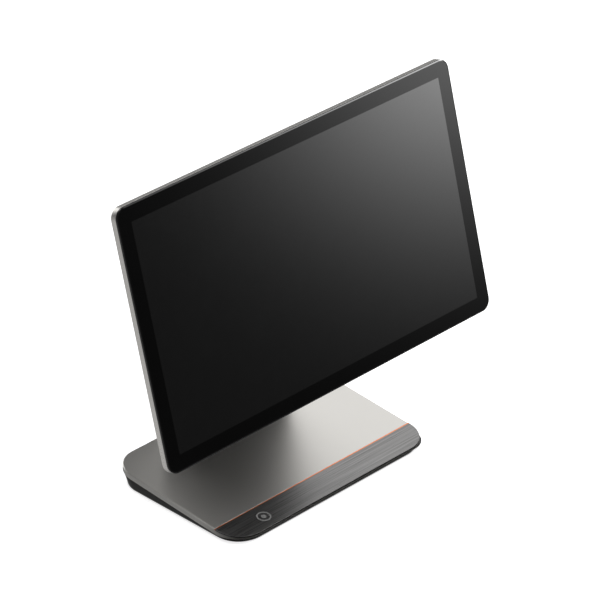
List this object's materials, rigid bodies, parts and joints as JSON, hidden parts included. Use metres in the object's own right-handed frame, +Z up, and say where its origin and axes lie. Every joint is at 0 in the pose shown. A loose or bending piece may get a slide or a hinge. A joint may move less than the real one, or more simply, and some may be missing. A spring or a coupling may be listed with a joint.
{
  "type": "touchscreen kiosk",
  "caption": "Desktop touchscreen kiosk: slim silver-edged glass display on a friction hinge and slanted neck, over a thin wedge base with a dark brushed front strip.",
  "frame": {"origin": "middle of the footprint, on the surface that the rubber feet stand on", "axes": "+X to the right as the user faces the screen, +Y to the back, +Z up"},
  "size_m": [0.3712, 0.149, 0.3151],
  "materials": {
    "cover_glass": "polished, black printed on its back",
    "display_black": "smooth",
    "sealing_tape": "matt foam tape",
    "silver_metal": "fine bead blasted and anodised, warm silver",
    "dark_metal": "dark powder coated",
    "dark_plastic": "fine moulded texture",
    "sheet_aluminium": "mill finish",
    "steel": "plain",
    "zinc_steel": "zinc plated",
    "brushed_dark": "brushed along its length, dark anodised",
    "copper_trim": "copper coloured anodised",
    "rubber_foot": "matt",
    "circuit_board": "solder mask",
    "plated_metal": "nickel plated",
    "black_part": "satin",
    "flat_cable": "polyimide film",
    "white_part": "satin"
  },
  "bodies": {
    "stand": {"base_top_cover": "silver_metal", "neck_column": "dark_metal", "base_lower_case": "dark_plastic", "base_weight": "steel", "base_screw_front_left": "steel", "base_screw_front_right": "steel", "base_screw_rear_left": "steel", "base_screw_rear_right": "steel", "neck_screw_outer_left": "steel", "neck_screw_outer_right": "steel", "neck_screw_inner_left": "steel", "neck_screw_inner_right": "steel", "base_front_strip": "brushed_dark", "accent_strip": "copper_trim", "foot_front_left": "rubber_foot", "foot_front_right": "rubber_foot", "foot_rear_left": "rubber_foot", "foot_rear_right": "rubber_foot"},
    "head": {"cover_glass": "cover_glass", "touch_sensor": "display_black", "display_cell": "display_black", "seal_tape": "sealing_tape", "head_shell": "silver_metal", "hinge_cap_left": "silver_metal", "hinge_cap_right": "silver_metal", "rear_housing": "dark_plastic", "backlight_unit": "sheet_aluminium", "heat_sink": "sheet_aluminium", "hinge_bracket": "steel", "hinge_shaft": "steel", "spring_washer_left": "steel", "spring_washer_right": "steel", "housing_screw_upper_left": "steel", "housing_screw_upper_right": "steel", "housing_screw_lower_left": "steel", "housing_screw_lower_right": "steel", "friction_washer_left": "zinc_steel", "friction_washer_right": "zinc_steel", "hinge_nut_left": "zinc_steel", "hinge_nut_right": "zinc_steel", "bracket_post_upper_left": "zinc_steel", "bracket_post_upper_right": "zinc_steel", "bracket_post_lower_left": "zinc_steel", "bracket_post_lower_right": "zinc_steel", "main_board": "circuit_board", "io_board": "circuit_board", "dc_inlet": "plated_metal", "lan_port": "plated_metal", "usb_ports": "plated_metal", "drawer_port": "plated_metal", "speaker_left": "black_part", "speaker_right": "black_part", "display_cable": "flat_cable", "power_switch": "white_part"},
    "cable_cover": {"neck_cable_cover": "dark_plastic"},
    "power_key": {"power_button": "silver_metal"}
  },
  "joints": [
    {"name": "head_tilt", "type": "hinge", "parent": "stand", "child": "head", "pos_m": [0, -0.00567, 0.18568], "axis": [-1, 0, 0], "range_deg": [-10, 45]},
    {"name": "power_press", "type": "slide", "parent": "head", "child": "power_key", "axis": [-1, 0, 0], "range_m": [0, 0.0007], "stiffness_N_per_m": 1500},
    {"name": "cable_cover_pull", "type": "slide", "parent": "stand", "child": "cable_cover", "axis": [0, 0.9468, 0.3219], "range_m": [0, 0.03]}
  ]
}
